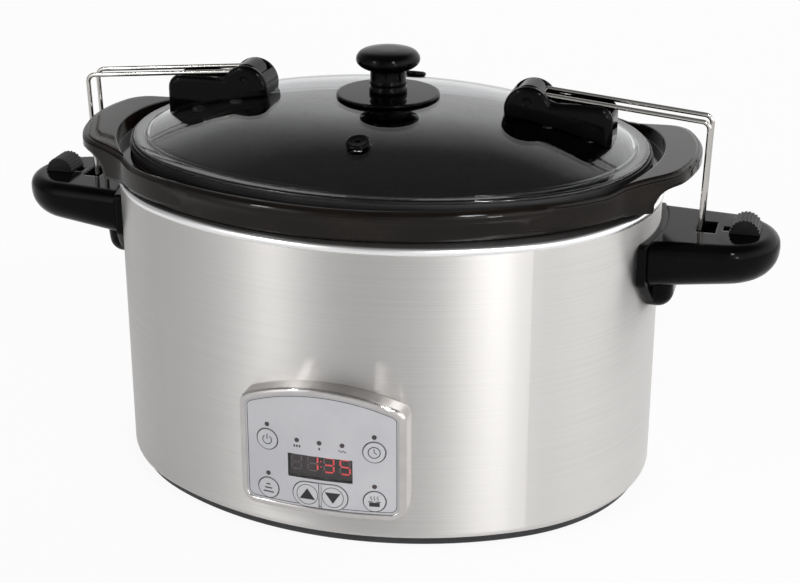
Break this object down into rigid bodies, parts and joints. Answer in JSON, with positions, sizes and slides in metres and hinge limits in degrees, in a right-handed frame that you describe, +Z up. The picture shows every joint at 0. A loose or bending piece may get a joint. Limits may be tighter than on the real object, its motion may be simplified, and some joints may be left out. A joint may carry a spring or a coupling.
{
  "type": "slow cooker",
  "caption": "Oval countertop slow cooker with a steel housing, black stoneware crock, domed glass lid, wire lid locks, side handles and a digital control panel.",
  "frame": {"origin": "on the table, under the centre of the oval housing", "axes": "+X towards the right-hand handle, -Y towards the control panel, +Z up"},
  "size_m": [0.506, 0.3068, 0.2815],
  "materials": {
    "steel_wall": "horizontally brushed stainless steel",
    "bright_rim": "polished rolled steel band",
    "liner_metal": "plain aluminised sheet",
    "heater_mica": "mica band with a metal skin",
    "fuse_ceramic": "sleeved thermal fuse",
    "plain_steel": "plain steel",
    "base_plastic": "dark satin moulded base",
    "rubber_feet": "matt rubber",
    "circuit_board": "solder mask",
    "black_plastic": "black plastic with a satin gloss",
    "ribbed_plastic": "black plastic, finely ribbed",
    "panel_chrome": "bright metallised bezel",
    "panel_silver": "silver paint with a faint lavender tone",
    "display_tint": "dark tinted window",
    "display_dark": "dark display block",
    "led_red": "unlit red lens",
    "button_silver": "silver plastic",
    "stoneware": "glossy black glaze with a brown tone",
    "smoked_glass": "clear tempered glass over a dark pot",
    "gasket_rubber": "black silicone rubber",
    "polished_wire": "polished steel wire"
  },
  "bodies": {
    "base": {"housing_shell": "steel_wall", "top_rim": "bright_rim", "heating_liner": "liner_metal", "heater_band": "heater_mica", "thermal_fuse": "fuse_ceramic", "temp_sensor": "plain_steel", "sensor_spring": "plain_steel", "liner_posts": "liner_metal", "base_pan": "base_plastic", "base_screws": "plain_steel", "feet": "rubber_feet", "power_board": "circuit_board", "cord_gland": "black_plastic", "panel_frame": "panel_chrome", "panel_face": "panel_silver", "display_window": "display_tint", "display_module": "display_dark", "indicator_leds": "led_red", "control_board": "circuit_board", "tact_switches": "base_plastic", "panel_screws": "plain_steel", "left_handle": "black_plastic", "right_handle": "black_plastic", "left_handle_bracket": "black_plastic", "right_handle_bracket": "black_plastic", "left_handle_screws": "plain_steel", "right_handle_screws": "plain_steel"},
    "crock": {"crock": "stoneware"},
    "lid": {"lid_glass": "smoked_glass", "lid_gasket": "gasket_rubber", "lid_knob": "black_plastic", "knob_plate": "black_plastic", "knob_screw": "plain_steel", "vent_grommets": "gasket_rubber", "left_lid_bracket": "black_plastic", "right_lid_bracket": "black_plastic", "left_bracket_screws": "plain_steel", "right_bracket_screws": "plain_steel", "left_hinge_pin": "plain_steel", "right_hinge_pin": "plain_steel"},
    "left_bail": {"left_bail_drum": "ribbed_plastic", "left_bail_wire": "polished_wire"},
    "right_bail": {"right_bail_drum": "ribbed_plastic", "right_bail_wire": "polished_wire"},
    "left_latch": {"left_latch_knob": "ribbed_plastic", "left_latch_bolt": "plain_steel"},
    "right_latch": {"right_latch_knob": "ribbed_plastic", "right_latch_bolt": "plain_steel"},
    "start_stop": {"start_stop_button": "button_silver"},
    "mode": {"mode_button": "button_silver"},
    "delay": {"delay_button": "button_silver"},
    "timer": {"timer_button": "button_silver"},
    "arrow_up": {"up_button": "button_silver"},
    "arrow_down": {"down_button": "button_silver"}
  },
  "joints": [
    {"name": "crock_lift", "type": "slide", "parent": "base", "child": "crock", "axis": [0, 0, 1], "range_m": [0, 0.25]},
    {"name": "lid_lift", "type": "slide", "parent": "crock", "child": "lid", "axis": [0, 0, 1], "range_m": [0, 0.25]},
    {"name": "right_bail_hinge", "type": "hinge", "parent": "lid", "child": "right_bail", "pos_m": [0.093, 0, 0.2564], "axis": [0, -1, 0], "range_deg": [0, 105]},
    {"name": "left_bail_hinge", "type": "hinge", "parent": "lid", "child": "left_bail", "pos_m": [-0.093, 0, 0.2564], "axis": [0, 1, 0], "range_deg": [0, 105]},
    {"name": "right_latch_slide", "type": "slide", "parent": "base", "child": "right_latch", "axis": [-1, 0, 0], "range_m": [0, 0.011]},
    {"name": "left_latch_slide", "type": "slide", "parent": "base", "child": "left_latch", "axis": [1, 0, 0], "range_m": [0, 0.011]},
    {"name": "start_stop_press", "type": "slide", "parent": "base", "child": "start_stop", "axis": [0, 1, 0], "range_m": [0, 0.0005], "stiffness_N_per_m": 400, "springref_m": -0.001},
    {"name": "mode_press", "type": "slide", "parent": "base", "child": "mode", "axis": [0, 1, 0], "range_m": [0, 0.0005], "stiffness_N_per_m": 400, "springref_m": -0.001},
    {"name": "delay_press", "type": "slide", "parent": "base", "child": "delay", "axis": [0, 1, 0], "range_m": [0, 0.0005], "stiffness_N_per_m": 400, "springref_m": -0.001},
    {"name": "timer_press", "type": "slide", "parent": "base", "child": "timer", "axis": [0, 1, 0], "range_m": [0, 0.0005], "stiffness_N_per_m": 400, "springref_m": -0.001},
    {"name": "arrow_up_press", "type": "slide", "parent": "base", "child": "arrow_up", "axis": [0, 1, 0], "range_m": [0, 0.0005], "stiffness_N_per_m": 400, "springref_m": -0.001},
    {"name": "arrow_down_press", "type": "slide", "parent": "base", "child": "arrow_down", "axis": [0, 1, 0], "range_m": [0, 0.0005], "stiffness_N_per_m": 400, "springref_m": -0.001}
  ]
}
